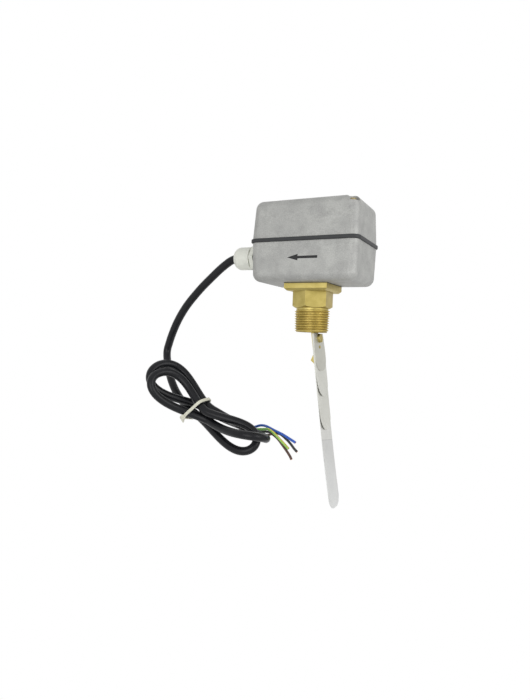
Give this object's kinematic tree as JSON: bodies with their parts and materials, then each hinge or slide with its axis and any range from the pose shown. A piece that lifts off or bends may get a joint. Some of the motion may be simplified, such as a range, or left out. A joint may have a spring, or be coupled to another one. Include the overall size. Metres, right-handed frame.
{
  "type": "paddle flow switch",
  "caption": "Paddle flow switch: cast box with a microswitch, brass pipe body with a taper thread, sprung stack of paddle leaves, and a cable lead tied in a hank.",
  "frame": {"origin": "centre of the pipe thread's gauge plane, on the thread's axis", "axes": "+Z from the pipe up to the box, -Y the front with the arrow, +X upstream: the flow runs towards -X"},
  "size_m": [0.2225, 0.1095, 0.2884],
  "materials": {
    "cast_aluminium": "as cast, tumbled",
    "black_rubber": "matt",
    "zinc_steel": "zinc plated",
    "black_paint": "paint",
    "brass": "machined",
    "stainless": "rolled",
    "bronze": "formed sheet",
    "spring_steel": "drawn wire",
    "black_plastic": "moulded",
    "tinned_brass": "tinned",
    "red_plastic": "moulded",
    "grey_nylon": "moulded",
    "cable_sheath": "extruded, satin",
    "core_blue": "extruded",
    "core_black": "extruded",
    "core_brown": "extruded",
    "core_green_yellow": "extruded, striped",
    "white_plastic": "moulded",
    "wire_red": "extruded",
    "natural_nylon": "moulded"
  },
  "bodies": {
    "root": {"lower_housing": "cast_aluminium", "upper_cover": "cast_aluminium", "cover_gasket": "black_rubber", "cover_screws": "zinc_steel", "flow_arrow": "black_paint", "brass_body": "brass", "flange_seal": "black_rubber", "flange_screws": "zinc_steel", "pivot_ring": "brass", "pivot_pin": "stainless", "bellows_collar": "brass", "bellows": "bronze", "bracket": "zinc_steel", "range_spring": "spring_steel", "micro_body": "black_plastic", "micro_terminals": "tinned_brass", "micro_screws": "zinc_steel", "micro_nuts": "zinc_steel", "gland_body": "grey_nylon", "gland_washer": "black_rubber", "gland_locknut": "grey_nylon", "gland_seal": "black_rubber", "gland_nut": "grey_nylon", "inner_cable": "cable_sheath", "wire_blue": "core_blue", "wire_black": "core_black", "wire_brown": "core_brown", "wire_green_yellow": "core_green_yellow", "terminal_block": "white_plastic", "terminal_screws": "tinned_brass", "switch_wires": "wire_red", "earth_screw": "zinc_steel", "earth_tag": "tinned_brass", "cable": "cable_sheath", "cable_hank": "cable_sheath", "cable_tie": "natural_nylon", "core_blue": "core_blue", "core_black": "core_black", "core_brown": "core_brown", "core_green_yellow": "core_green_yellow"},
    "paddle": {"lever_arm": "brass", "leaf_short": "stainless", "leaf_medium": "stainless", "leaf_large": "stainless", "leaf_long": "stainless", "leaf_screw": "brass", "leaf_rivet": "brass", "lever_yoke": "zinc_steel", "lever_nut": "zinc_steel"},
    "switch_lever": {"micro_blade": "stainless"},
    "switch_button": {"micro_button": "red_plastic"},
    "range_adjuster": {"range_screw": "brass", "screw_collar": "zinc_steel"},
    "spring_slider": {"spring_nut": "brass"}
  },
  "joints": [
    {"name": "paddle_swing", "type": "hinge", "parent": "root", "child": "paddle", "pos_m": [0, 0, 0.024], "axis": [0, 1, 0], "range_deg": [0, 9], "stiffness_Nm_per_rad": 0.6, "springref_deg": -17.19, "deforming": ["range_spring", "bellows"]},
    {"name": "switch_lever_swing", "type": "hinge", "parent": "root", "child": "switch_lever", "pos_m": [0.00846, 0.01535, 0.09], "axis": [0, 1, 0], "range_deg": [-18.6, 0]},
    {"name": "switch_button_travel", "type": "slide", "parent": "root", "child": "switch_button", "axis": [1, 0, 0], "range_m": [0, 0.0017]},
    {"name": "range_screw_turn", "type": "hinge", "parent": "root", "child": "range_adjuster", "pos_m": [0.03, 0, 0.068], "axis": [1, 0, 0], "range_deg": [0, 1440]},
    {"name": "spring_nut_travel", "type": "slide", "parent": "root", "child": "spring_slider", "axis": [-1, 0, 0], "range_m": [0, 0.0028], "deforming": ["range_spring"]}
  ],
  "couplings": [
    {"joint": "switch_lever_swing", "follows": "paddle_swing", "ratio": -2.03},
    {"joint": "switch_button_travel", "follows": "paddle_swing", "m_per_rad": 0.0105},
    {"joint": "range_screw_turn", "follows": "spring_nut_travel", "rad_per_m": 8975.9}
  ]
}
